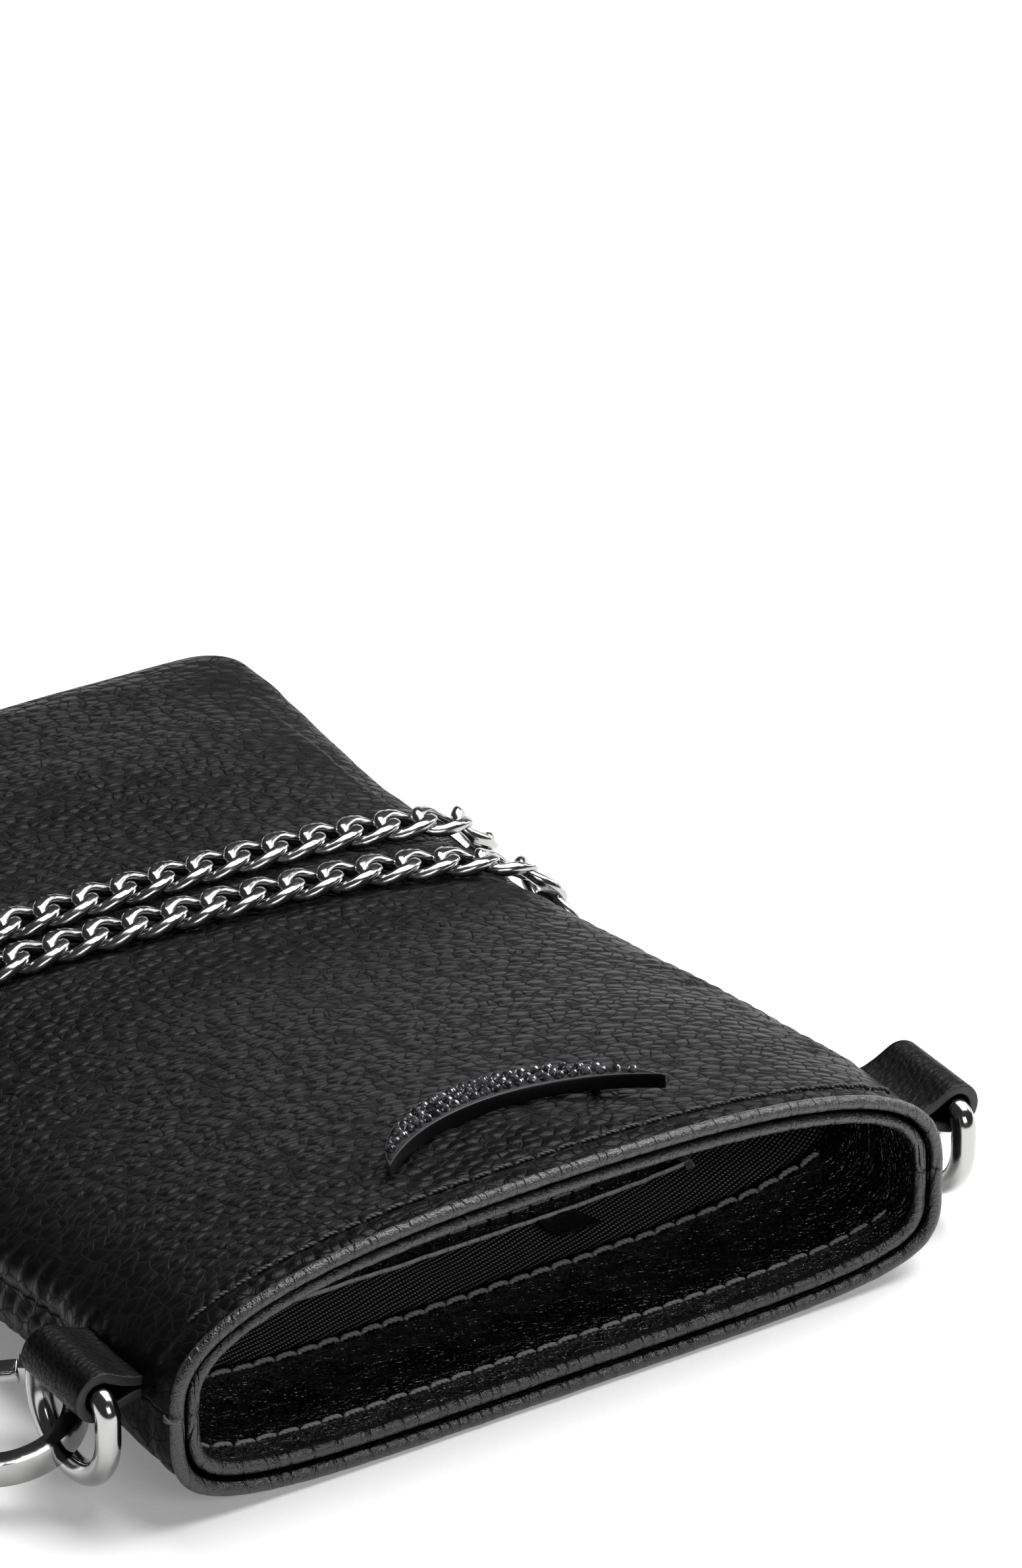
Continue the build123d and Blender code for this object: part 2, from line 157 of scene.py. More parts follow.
def coordinates(nodes, link, scale=(1, 1, 1), rotation=(0, 0, 0), warp=0.0, warp_scale=100.0):
    """Object coordinates, scaled and turned, with an optional noise warp in metres."""
    place = nodes.new("ShaderNodeTexCoord").outputs["Object"]
    if warp:
        wobble = nodes.new("ShaderNodeTexNoise")
        dial(wobble, {"Scale": warp_scale, "Detail": 1.0})
        link(place, wobble.inputs["Vector"])
        centred = nodes.new("ShaderNodeVectorMath")
        centred.operation = "SUBTRACT"
        link(wobble.outputs["Color"], centred.inputs[0])
        centred.inputs[1].default_value = (0.5, 0.5, 0.5)
        moved = nodes.new("ShaderNodeVectorMath")
        moved.operation = "MULTIPLY_ADD"
        link(centred.outputs[0], moved.inputs[0])
        moved.inputs[1].default_value = (warp, warp, warp)
        link(place, moved.inputs[2])
        place = moved.outputs[0]
    mapping = nodes.new("ShaderNodeMapping")
    dial(mapping, {"Scale": scale, "Rotation": rotation})
    link(place, mapping.inputs["Vector"])
    return mapping.outputs["Vector"]


def voronoi(nodes, link, vector, scale, feature="DISTANCE_TO_EDGE"):
    """The distance output of a cell texture."""
    node = nodes.new("ShaderNodeTexVoronoi")
    node.feature = feature
    dial(node, {"Scale": scale})
    link(vector, node.inputs["Vector"])
    return node.outputs["Distance"]


def noise_tex(nodes, link, vector, scale, detail, rough=0.5):
    """The value of a noise texture."""
    node = nodes.new("ShaderNodeTexNoise")
    dial(node, {"Scale": scale, "Detail": detail, "Roughness": rough})
    link(vector, node.inputs["Vector"])
    return node.outputs["Fac"]


def bump(nodes, link, height, distance):
    """A bump of a depth in metres at full strength."""
    node = nodes.new("ShaderNodeBump")
    dial(node, {"Strength": 1.0, "Distance": distance})
    link(height, node.inputs["Height"])
    return node.outputs["Normal"]


def ramp(nodes, link, value, low, high):
    """A mix of two colours by a value."""
    node = nodes.new("ShaderNodeMix")
    node.data_type = "RGBA"
    link(value, node.inputs[0])
    node.inputs[6].default_value = (*low, 1)
    node.inputs[7].default_value = (*high, 1)
    return node.outputs[2]


def pebbled_leather(name, cell=1.95, depth=0.00042, calm_sides=True):
    """Soft black leather: pillowed cells between narrow dull creases, the creases painted darker as shade.
    """
    material, nodes, link, shader = new_material(name)
    place = coordinates(nodes, link, scale=(0.85, 1.1, 1.0), warp=0.0005, warp_scale=380)
    cells = 1 / (cell * MM)
    crease = voronoi(nodes, link, place, cells)
    pads = map_range(nodes, link, crease, 0.0, 0.07)
    dome = map_range(nodes, link, voronoi(nodes, link, place, cells, "F1"), 0.05, 0.75, 1.0, 0.0)
    wrinkle = map_range(nodes, link, voronoi(nodes, link, place, 2.3 * cells), 0.0, 0.1)
    grain = add_part(nodes, link, dome, pads, 0.3)
    grain = add_part(nodes, link, grain, wrinkle, 0.06)
    grain = add_part(nodes, link, grain, noise_tex(nodes, link, place, 3200, 2), 0.06)
    skin = bump(nodes, link, grain, depth)
    link(skin, shader.inputs["Normal"])
    if calm_sides:
        # The hide is stretched flatter towards the two sides.
        spot = nodes.new("ShaderNodeSeparateXYZ")
        link(nodes.new("ShaderNodeTexCoord").outputs["Object"], spot.inputs[0])
        away = math_node(nodes, link, "ABSOLUTE", spot.outputs["X"])
        link(map_range(nodes, link, away, 0.038, 0.054, 1.0, 0.2), skin.node.inputs["Strength"])
    link(map_range(nodes, link, crease, 0.0, 0.09, 0.75, 0.41), shader.inputs["Roughness"])
    # Painted shade: the base colour is darker in the creases, where shade falls, and lighter on the cells.
    shade = ramp(nodes, link, pads, (0.0009, 0.0009, 0.001), (0.0018, 0.0018, 0.002))
    link(shade, shader.inputs["Base Color"])
    dial(shader, {"Specular IOR Level": 0.13})
    return material


def rolled_leather(name, shade=0.006):
    """Leather stretched over a cord: a grainy sheen, nicked across here and there."""
    material, nodes, link, shader = new_material(name)
    grain = noise_tex(nodes, link, coordinates(nodes, link), 1700, 3, 0.7)
    across = coordinates(nodes, link, (1, 0.12, 0.12), warp=0.001, warp_scale=260)
    nicks = map_range(nodes, link, voronoi(nodes, link, across, 400), 0.0, 0.05)
    height = add_part(nodes, link, grain, nicks, 0.5)
    link(bump(nodes, link, height, 0.0003), shader.inputs["Normal"])
    dial(shader, {"Base Color": (shade, shade, shade, 1), "Roughness": 0.27, "Specular IOR Level": 0.85})
    return material


def glossy_leather(name):
    """Facing leather: a glossy skin crossed by fine sharp creases."""
    material, nodes, link, shader = new_material(name)
    place = coordinates(nodes, link, scale=(1, 0.8, 0.8), warp=0.0016, warp_scale=300)
    cells = map_range(nodes, link, voronoi(nodes, link, place, 560), 0.0, 0.14)
    small = map_range(nodes, link, voronoi(nodes, link, place, 1500), 0.0, 0.2)
    soft = noise_tex(nodes, link, place, 700, 4, 0.6)
    height = add_part(nodes, link, add_part(nodes, link, soft, cells, 0.5), small, 0.3)
    link(bump(nodes, link, height, 0.00055), shader.inputs["Normal"])
    dial(shader, {"Base Color": (0.004, 0.004, 0.004, 1), "Roughness": 0.17, "Specular IOR Level": 0.8})
    return material


def twill(name, pitch, tone):
    """Lining: ribs of a pitch in millimetres, a little off the mouth's direction, broken up by the weft, the
    ribs painted lighter as highlight and the gaps painted dark as shade.
    """
    material, nodes, link, shader = new_material(name)
    place = coordinates(nodes, link, rotation=(0, 0, math.radians(75)), warp=0.0002, warp_scale=400)
    ribs, weft = nodes.new("ShaderNodeTexWave"), nodes.new("ShaderNodeTexWave")
    ribs.bands_direction, weft.bands_direction = "X", "Y"
    dial(ribs, {"Scale": WAVE_PERIOD / (pitch * MM), "Distortion": 0.6})
    dial(weft, {"Scale": WAVE_PERIOD / (0.7 * pitch * MM)})
    for wave in (ribs, weft):
        link(place, wave.inputs["Vector"])
    broken = map_range(nodes, link, weft.outputs["Fac"], 0.1, 0.8, 0.35, 1.0)
    weave = math_node(nodes, link, "MULTIPLY", ribs.outputs["Fac"], broken)
    link(bump(nodes, link, weave, 0.0003), shader.inputs["Normal"])
    # Painted light: the colour runs from near black in the gaps, as shade, to the full tone on the raised
    # ribs, as highlight.
    raised_painted_light = map_range(nodes, link, weave, 0.25, 0.9)
    link(ramp(nodes, link, raised_painted_light, (tone * 0.03,) * 3, (tone,) * 3), shader.inputs["Base Color"])
    dial(shader, {"Roughness": 0.6, "Specular IOR Level": 0.3})
    return material


def thread(name, tone, rough=0.5):
    """Twisted black or pale thread, and the raw edge of leather."""
    material, nodes, link, shader = new_material(name)
    place = coordinates(nodes, link)
    fibre = noise_tex(nodes, link, place, 6000, 2)
    link(bump(nodes, link, fibre, 0.00005), shader.inputs["Normal"])
    link(ramp(nodes, link, fibre, (tone * 0.5,) * 3, (tone * 1.6,) * 3), shader.inputs["Base Color"])
    dial(shader, {"Roughness": rough})
    return material


def polished(name, tone, rough):
    """Polished nickel-plated steel with faint hairlines and smudges."""
    material, nodes, link, shader = new_material(name)
    place = coordinates(nodes, link)
    smudge = noise_tex(nodes, link, place, 160, 3)
    link(map_range(nodes, link, smudge, 0.35, 0.7, rough, rough + 0.06), shader.inputs["Roughness"])
    hair = noise_tex(nodes, link, coordinates(nodes, link, (1, 6, 6)), 900, 4, 0.7)
    link(bump(nodes, link, hair, 0.000004), shader.inputs["Normal"])
    bright = (tone, tone * 0.995, tone * 0.98)
    link(ramp(nodes, link, smudge, (tone * 0.95,) * 3, bright), shader.inputs["Base Color"])
    dial(shader, {"Metallic": 1.0})
    return material


def black_metal(name):
    """Satin black plating with a fine grit."""
    material, nodes, link, shader = new_material(name)
    place = coordinates(nodes, link)
    grit = noise_tex(nodes, link, place, 5000, 2)
    link(bump(nodes, link, grit, 0.00001), shader.inputs["Normal"])
    link(ramp(nodes, link, grit, (0.02, 0.02, 0.021), (0.032, 0.032, 0.034)), shader.inputs["Base Color"])
    dial(shader, {"Roughness": 0.34, "Metallic": 0.85})
    return material


def stone_glass(name):
    """Dark stones with a mirror back: each facet gives back a little of the room."""
    material, nodes, link, shader = new_material(name)
    place = coordinates(nodes, link)
    cloud = map_range(nodes, link, noise_tex(nodes, link, place, 1100, 1), 0.35, 0.65)
    link(ramp(nodes, link, cloud, (0.06, 0.06, 0.065), (0.36, 0.36, 0.38)), shader.inputs["Base Color"])
    dial(shader, {"Roughness": 0.08, "Metallic": 0.8})
    return material


def paper_floor(name):
    """A pale, slightly toothed table that glows a little, as a bright studio sweep does."""
    material, nodes, link, shader = new_material(name)
    place = coordinates(nodes, link)
    tooth = noise_tex(nodes, link, place, 900, 3)
    link(bump(nodes, link, tooth, 0.00008), shader.inputs["Normal"])
    dial(shader, {"Base Color": (0.92, 0.92, 0.92, 1), "Roughness": 0.8, "Specular IOR Level": 0.2})
    dial(shader, {"Emission Color": (1, 1, 1, 1), "Emission Strength": 0.2})
    return material


LEATHER = pebbled_leather("pebbled_leather")
TAB_LEATHER = pebbled_leather("tab_leather", cell=0.8, depth=0.00004, calm_sides=False)
ROLLED_EDGE = rolled_leather("rolled_leather_edge")
RAW_EDGE = thread("raw_leather_edge", 0.006)
FACING = glossy_leather("facing_leather")
# Painted highlight: the pocket edge's dark leather roll is coloured light grey to stand in for the bright
# line of light along it.
POCKET_EDGE_PAINTED_HIGHLIGHT = rolled_leather("pocket_edge_painted_highlight", 0.5)
# The lining's tone is partly its own grey and partly painted light: it is set higher to stand in for a
# weaker light from the front.
TWILL = twill("twill_lining", 0.7, 0.42)
THREAD = thread("black_thread", 0.014)
# The inner thread's pale tone is partly its own grey and partly painted highlight, set higher to stand in
# for a weaker light from the front.
INNER_THREAD = thread("waxed_thread_painted_light", 0.26, 0.26)
PALE_THREAD = thread("pale_thread", 0.09)
LABEL_CLOTH = twill("label_weave", 0.35, 0.04)
STEEL = polished("polished_steel", 0.46, 0.1)
CHAIN_STEEL = polished("chain_steel", 0.42, 0.16)
BLACK_METAL = black_metal("satin_black_metal")
STONE = stone_glass("black_stone")


# ---------------------------------------------------------------- mesh tools
def piece(name, points, faces, material, rides=POUCH, slot=None, smooth=True, replaces=()):
    """A mesh piece from points in millimetres that rides on a body."""
    mesh = bpy.data.meshes.new(name)
    mesh.from_pydata([tuple(p) for p in np.asarray(points, float) * MM], [], faces)
    mesh.validate()
    mesh.update()
    mesh.polygons.foreach_set("use_smooth", [smooth] * len(mesh.polygons))
    made = bpy.data.objects.new(name, mesh)
    bpy.context.scene.collection.objects.link(made)
    mesh.materials.append(material)
    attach(made, rides)
    if replaces:
        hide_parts(*replaces)
    return made


def grid_faces(rows, columns, wrap_rows=False, wrap_columns=False, start=0):
    """Quads over a grid of points held row by row."""
    faces = []
    for r in range(rows if wrap_rows else rows - 1):
        for c in range(columns if wrap_columns else columns - 1):
            a = r * columns + c
            b = r * columns + (c + 1) % columns
            d = (r + 1) % rows * columns + c
            e = (r + 1) % rows * columns + (c + 1) % columns
            faces.append((start + a, start + b, start + e, start + d))
    return faces


def unit(v):
    """Vectors scaled to a length of one."""
    return v / np.maximum(np.linalg.norm(v, axis=-1, keepdims=True), 1e-12)


def tube(path, outline, closed=True, normals=None):
    """Points and faces of an outline, (across, up) pairs, swept along a path."""
    path = np.asarray(path, float)
    count = len(path)
    if closed:
        tangent = unit(np.roll(path, -1, 0) - np.roll(path, 1, 0))
    else:
        tangent = unit(np.gradient(path, axis=0))
    if normals is None:
        normals = np.zeros_like(path)
        up = np.array([0.0, 0.0, 1.0])
        if abs(tangent[0] @ up) > 0.9:
            up = np.array([1.0, 0.0, 0.0])
        for i in range(count):
            up = up - tangent[i] * (up @ tangent[i])
            up /= np.linalg.norm(up)
            normals[i] = up
    normals = unit(normals - tangent * np.sum(normals * tangent, -1, keepdims=True))
    across = np.cross(tangent, normals)
    outline = np.asarray(outline, float)
    points = path[:, None] + across[:, None] * outline[None, :, :1] + normals[:, None] * outline[None, :, 1:]
    faces = grid_faces(count, len(outline), wrap_rows=closed, wrap_columns=True)
    if not closed:
        n = len(outline)
        faces.append(tuple(reversed(range(n))))
        faces.append(tuple(range((count - 1) * n, count * n)))
    return points.reshape(-1, 3), faces


def circle(radius, count):
    """A circle's outline."""
    turns = np.linspace(0, 2 * math.pi, count, endpoint=False)
    return np.stack([radius * np.cos(turns), radius * np.sin(turns)], -1)


def rounded_box(width, height, radius, corner_steps):
    """A rectangle's outline with rounded corners, centred."""
    points = []
    for k, (sx, sy) in enumerate(((1, 1), (-1, 1), (-1, -1), (1, -1))):
        for i in range(corner_steps + 1):
            turn = math.pi / 2 * (k + i / corner_steps)
            x = sx * (width / 2 - radius) + radius * math.cos(turn)
            y = sy * (height / 2 - radius) + radius * math.sin(turn)
            points.append((x, y))
    return points


def lumps(points, size, seed=0.0):
    """Smooth noise from -1 to 1 at points, with features of a size in millimetres."""
    shift = Vector((seed, seed * 0.7, -seed))
    flat = np.asarray(points, float).reshape(-1, 3) / size
    values = [noise.noise(Vector(p) + shift) for p in flat]
    return np.array(values).reshape(np.asarray(points).shape[:-1])


# ---------------------------------------------------------------- the pouch's shape
# Each row: depth from the mouth, half width, seam height, top, bottom, roundness of the upper half
SECTIONS = np.array(
    [
        (0, 56.2, 15.2, 32.1, 0.7, 2.7),
        (25, 57.6, 15.2, 28.7, -0.3, 2.1),
        (45, 57.9, 13.0, 25.1, -0.3, 2.0),
        (70, 57.4, 10.2, 20.4, -0.3, 1.95),
        (88, 57.0, 8.5, 17.1, -0.3, 2.0),
        (98, 56.6, 8.1, 15.4, 3.7, 2.05),
        (108, 56.2, 8.1, 14.6, 3.8, 2.1),
        (120, 56.0, 8.0, 13.8, 3.7, 2.2),
        (132, 56.6, 6.2, 12.8, -0.3, 2.3),
        (150, 57.6, 5.4, 11.4, -0.3, 2.4),
        (168, 58.6, 4.8, 8.8, -0.3, 2.4),
        (180, 58.8, 4.6, 7.2, -0.3, 2.4),
    ]
)
BOTTOM_POWER = 3.2
# The closed end: its corners' radius on the plan, and the stretch over which it thins to its edge.
CORNER = 6.5
END_ROUND = 9.0


def smooth_table():
    """The sections at every millimetre, their corners softened."""
    depths = np.arange(-20.0, LENGTH + 21.0)
    values = []
    for column in range(1, 6):
        row = np.interp(depths, SECTIONS[:, 0], SECTIONS[:, column])
        slope = (SECTIONS[1, column] - SECTIONS[0, column]) / SECTIONS[1, 0]
        row = np.where(depths < 0, SECTIONS[0, column] + slope * depths, row)
        kernel = np.exp(-0.5 * (np.arange(-10, 11) / 3.5) ** 2)
        kernel /= kernel.sum()
        values.append(np.convolve(np.pad(row, 10, mode="edge"), kernel, "valid"))
    return depths, values


TABLE_DEPTHS, TABLE = smooth_table()


def section_at(depth):
    """Half width, seam height, top, bottom and roundness at a depth, closed end included."""
    width, seam, top, bottom, power = (np.interp(depth, TABLE_DEPTHS, row) for row in TABLE)
    past = np.clip((depth - (LENGTH - CORNER)) / CORNER, 0, 1)
    width = width - CORNER * (1 - math.sqrt(1 - past**2))
    past = np.clip((depth - (LENGTH - END_ROUND)) / END_ROUND, 0, 1)
    shut = (1 - past**2.2) ** (1 / 2.2)
    top = seam + (top - seam) * shut
    bottom = seam + (bottom - seam) * (1 - past**3) ** (1 / 2.5)
    return width, seam, top, bottom, power


def bottom_power(depth):
    """The lower half's roundness: squarer corners at the mouth."""
    return BOTTOM_POWER + 1.6 * math.exp(-((max(depth, 0) / 18) ** 2))


def lip(depth, z):
    """How far the lower lip of the mouth stands forward, in millimetres."""
    return 0.8 * np.clip((11 - z) / 11, 0, 1) * math.exp(-((max(depth, 0) / 12) ** 2))


def lean(x, depth, z):
    """How much lower the pouch's +X half lies than a symmetrical shape would, in millimetres."""
    drop = np.interp(depth, (0, 30, 77, 102, 120, 140), (0.7, 0.8, 0.7, 0.6, 0.4, 0))
    return drop * np.clip(x / 57, 0, 1) * np.clip(z / 8, 0, 1)


def section_curve(depth, inset, above, shares):
    """Points at even shares of the arc from the +X seam to the -X seam."""
    width, seam, top, bottom, power = section_at(depth)
    shut = max(0.02, min(1.0, (LENGTH - depth) / 6.0))
    inset_z = inset * shut
    reach = max(top - inset_z - seam, 0.0) if above else min(bottom + inset_z - seam, 0.0)
    power = power if above else bottom_power(depth)
    turns = np.linspace(0, math.pi, 241)
    x = (width - inset) * np.sign(np.cos(turns)) * np.abs(np.cos(turns)) ** (2 / power)
    z = seam + reach * np.sin(turns) ** (2 / power)
    run = np.concatenate([[0], np.cumsum(np.hypot(np.diff(x), np.diff(z)))])
    goal = shares * run[-1]
    x, z = np.interp(goal, run, x), np.interp(goal, run, z)
    tuck = 1.3 * np.clip(x / 56, 0, 1) ** 4 * math.exp(-((max(depth, 0) / 10) ** 2))
    y = depth + MOUTH_Y - lip(depth, z)
    return np.stack([x - tuck, y, z - lean(x, depth, z)], -1)


def surface(depths, shares, inset, above):
    """A grid of points, one row per depth."""
    return np.stack([section_curve(d, inset, above, shares) for d in depths])


def outward(points, above):
    """Unit normals of a grid, pointing out of the pouch."""
    along = np.gradient(points, axis=0)
    around = np.gradient(points, axis=1)
    normal = unit(np.cross(along, around))
    if not above:
        normal = -normal
    return normal


def steps(start, stop, size):
    """Evenly spaced values, both ends included, about a size apart."""
    return list(np.linspace(start, stop, max(2, int(round(abs(stop - start) / size)) + 1)))


# ---------------------------------------------------------------- chain strap
# The route's points, in metres. They aren't part.py's own: there are more of them round the pouch's
# edges, and the line lies lower on the soft leather and further in at the right edge than the CAD tube.
CHAIN_ROUTE = [
    (-0.0897, -0.0389, 0.0032),
    (-0.0934, -0.0324, 0.0018),
    (-0.0960, -0.0240, 0.0016),
    (-0.0980, -0.0130, 0.0016),
    (-0.0970, -0.0010, 0.0016),
    (-0.0920, 0.0103, 0.0016),
    (-0.0840, 0.0186, 0.0016),
    (-0.0746, 0.0228, 0.0016),
    (-0.0644, 0.0238, 0.0017),
    (-0.0602, 0.0237, 0.0038),
    (-0.0590, 0.0237, 0.0080),
    (-0.0556, 0.0236, 0.0113),
    (-0.0500, 0.0235, 0.0127),
    (-0.0400, 0.0235, 0.0141),
    (-0.0280, 0.0232, 0.0151),
    (-0.0080, 0.0229, 0.0157),
    (0.0140, 0.0227, 0.0154),
    (0.0320, 0.0225, 0.0145),
    (0.0460, 0.0223, 0.0129),
    (0.0535, 0.0221, 0.0112),
    (0.0580, 0.0220, 0.0078),
    (0.0582, 0.0219, 0.0040),
    (0.0555, 0.0217, 0.0017),
    (0.0480, 0.0214, 0.0016),
    (0.0280, 0.0207, 0.0016),
    (0.0020, 0.0189, 0.0016),
    (-0.0240, 0.0169, 0.0016),
    (-0.0470, 0.0158, 0.0016),
    (-0.0562, 0.0153, 0.0018),
    (-0.0590, 0.0150, 0.0048),
    (-0.0587, 0.0149, 0.0087),
    (-0.0556, 0.0148, 0.0114),
    (-0.0500, 0.0148, 0.0130),
    (-0.0400, 0.0147, 0.0145),
    (-0.0280, 0.0144, 0.0156),
    (-0.0080, 0.0135, 0.0164),
    (0.0140, 0.0122, 0.0161),
    (0.0310, 0.0113, 0.0151),
    (0.0450, 0.0102, 0.0133),
    (0.0530, 0.0086, 0.0114),
    (0.0574, 0.0070, 0.0086),
    (0.0586, 0.0058, 0.0046),
    (0.0582, 0.0030, 0.0017),
    (0.0588, -0.0050, 0.0016),
    (0.0600, -0.0170, 0.0016),
    (0.0613, -0.0315, 0.0016),
    (0.0609, -0.0435, 0.0016),
    (0.0620, -0.0540, 0.0016),
    (0.0623, -0.0623, 0.0030),
]
# The curb links: how far apart they are, their wire, their width, and half their height once cut flat.
LINK_PITCH = 5.7
LINK_WIRE = 1.85
LINK_WIDTH = 6.2
LINK_FLAT = 1.22
CHAIN_END_GAP = 0.9
# How far a link is twisted at each end, and how oval it is.
LINK_TWIST = math.radians(-44)
LINK_SQUARENESS = 0.86
# The flat pouch's middle line, which links that go round the pouch face away from.
CORE_HALF, CORE_HEIGHT = 48.0, 7.6
# Links below this height, or further out than this, lie on the table.
LYING_HEIGHT, BESIDE = 3.1, 66.0


def route_line(route):
    """Points along the smooth line of a route, in millimetres."""
    curve = bpy.data.curves.new("route", "CURVE")
    curve.dimensions = "3D"
    curve.resolution_u = 24
    spline = curve.splines.new("NURBS")
    spline.points.add(len(route) - 1)
    for point, place in zip(spline.points, route):
        point.co = (*place, 1)
    spline.order_u = 3
    spline.use_endpoint_u = True
    holder = bpy.data.objects.new("route", curve)
    mesh = bpy.data.meshes.new_from_object(holder)
    line = np.array([v.co for v in mesh.vertices]) / MM
    bpy.data.objects.remove(holder)
    bpy.data.meshes.remove(mesh)
    bpy.data.curves.remove(curve)
    return line


def link_shape(around=26, ring=10):
    """One curb link along X: an oval of wire, twisted so that the links lie flat, its faces cut flat."""
    half_long = (LINK_PITCH + LINK_WIRE) / 2
    half_wide = (LINK_WIDTH - LINK_WIRE) / 2
    turns = np.linspace(0, 2 * math.pi, around, endpoint=False)
    x = half_long * np.sign(np.cos(turns)) * np.abs(np.cos(turns)) ** LINK_SQUARENESS
    y = half_wide * np.sign(np.sin(turns)) * np.abs(np.sin(turns)) ** LINK_SQUARENESS
    twist = LINK_TWIST * x / half_long
    line = np.stack([x, y * np.cos(twist), y * np.sin(twist)], -1)
    up = np.stack([np.zeros_like(x), -np.sin(twist), np.cos(twist)], -1)
    points, faces = tube(line, circle(LINK_WIRE / 2, ring), normals=up)
    points[:, 2] = np.clip(points[:, 2], -LINK_FLAT, LINK_FLAT)
    return points, faces


def chain_frames(line):
    """Where each link sits: its centre, direction and facing."""
    run = np.concatenate([[0], np.cumsum(np.linalg.norm(np.diff(line, axis=0), axis=1))])
    count = int((run[-1] - 2 * CHAIN_END_GAP) / LINK_PITCH)
    pitch = (run[-1] - 2 * CHAIN_END_GAP) / count
    middles = CHAIN_END_GAP + pitch * (np.arange(count) + 0.5)

    def at(distance):
        return np.stack([np.interp(distance, run, line[:, k]) for k in range(3)], -1)

    centres = (at(middles - pitch * 0.45) + at(middles + pitch * 0.45) + 2 * at(middles)) / 4
    along = unit(at(middles + pitch * 0.8) - at(middles - pitch * 0.8))
    core = [np.clip(centres[:, 0], -CORE_HALF, CORE_HALF), centres[:, 1], np.full(count, CORE_HEIGHT)]
    core = np.stack(core, -1)
    lying = (centres[:, 2] < LYING_HEIGHT) | (np.abs(centres[:, 0]) > BESIDE)
    facing = np.where(lying[:, None], [0.0, 0.0, 1.0], centres - core)
    facing = unit(facing - along * np.sum(facing * along, -1, keepdims=True))
    for i in range(1, count):
        if facing[i] @ facing[i - 1] < 0:
            facing[i] = -facing[i]
    for _ in range(2):
        softer = facing.copy()
        softer[1:-1] = facing[:-2] + 2 * facing[1:-1] + facing[2:]
        facing = unit(softer - along * np.sum(softer * along, -1, keepdims=True))
    return centres, along, facing, pitch


def make_chain():
    """All links as one piece, with the chain's line and length in metres."""
    line = route_line(CHAIN_ROUTE)
    shape, link_faces = link_shape()
    points, faces = [], []
    centres, along, facing, pitch = chain_frames(line)
    for centre, forward, up in zip(centres, along, facing):
        side = np.cross(up, forward)
        placed = centre + shape @ np.stack([forward * pitch / LINK_PITCH, side, up])
        placed[:, 2] = np.maximum(placed[:, 2], TABLE_GAP)
        faces += [tuple(i + len(points) * len(shape) for i in face) for face in link_faces]
        points.append(placed)
    points = np.concatenate(points)
    chain = piece("chain_links", points, faces, CHAIN_STEEL, slot="chain", replaces=["chain_strap"])
    length = float(np.linalg.norm(np.diff(line, axis=0), axis=1).sum()) * MM
    return chain, line * MM, length


chain, chain_line, chain_length = make_chain()


# ---------------------------------------------------------------- leather panels
# Where the chain's two strands press on the front: places across, and their depths.
STRANDS = (
    ([-60, -8, 14, 46, 60], [113.6, 112.9, 112.7, 112.3, 112.1]),
    ([-60, -46, -8, 14, 45, 60], [104.9, 104.7, 103.5, 102.2, 100.2, 94.5]),
)


def relief(points, above):
    """How far soft leather stands out of its plain shape at each point of a grid, in millimetres."""
    x, depth, z = points[..., 0], points[..., 1] - MOUTH_Y, points[..., 2]
    seam = np.interp(depth, TABLE_DEPTHS, TABLE[1])
    width = np.interp(depth, TABLE_DEPTHS, TABLE[0])
    rise = np.abs(z + lean(x, depth, z) - seam)
    side = np.exp(-((rise / 2.6) ** 2)) * (np.abs(x) > width - 6)
    fade = np.clip((depth - 21) / 8, 0, 1) * np.clip((LENGTH - 16 - depth) / 25, 0, 1)
    out = -1.7 * side * fade
    pucker = np.exp(-((rise / 7.0) ** 2)) * (np.abs(x) > width - 9) * np.clip((depth - 12) / 8, 0, 1)
    pucker = pucker * np.clip((95 - depth) / 30, 0, 1)
    waves = np.sin(depth / 3.3 * 2 * math.pi + 1.4 * lumps(points, 9, 3.0) * 3)
    out += 0.28 * pucker * waves * (0.6 + 0.8 * lumps(points, 14, 5.0))
    out += 0.55 * lumps(points, 34, 1.0) * np.clip(depth / 20, 0, 1) * np.clip((LENGTH - depth) / 20, 0, 1)
    out += 0.12 * lumps(points * np.array([0.6, 1.4, 1]), 7, 2.0) * np.clip((depth - 3) / 5, 0, 1)
    stitch = np.exp(-(((depth - MOUTH_ROW) / 0.8) ** 2))
    out += -0.22 * stitch + 0.12 * np.exp(-((depth - 4.4) ** 2))
    if above:
        for xs, depths in STRANDS:
            away = depth - np.interp(x, xs, depths)
            out += -0.55 * np.exp(-((away / 3.4) ** 2)) + 0.2 * np.exp(-(((np.abs(away) - 6.5) / 2.5) ** 2))
    return out


# The rims' rolls: their radii, and the rows of points round each.
OUTER_BEAD = 0.9
INNER_BEAD = 0.85
BEAD_ROWS = 24
# The closed end's last stretch, where the rows of points get closer.
END_RUN = 12.0
# How far the facing is inside the leather.
FACING_INSET = 3.3
# The depths of the rows of stitches.
MOUTH_ROW, FACING_ROW, POCKET_ROW = 6.2, 21.7, 36.0


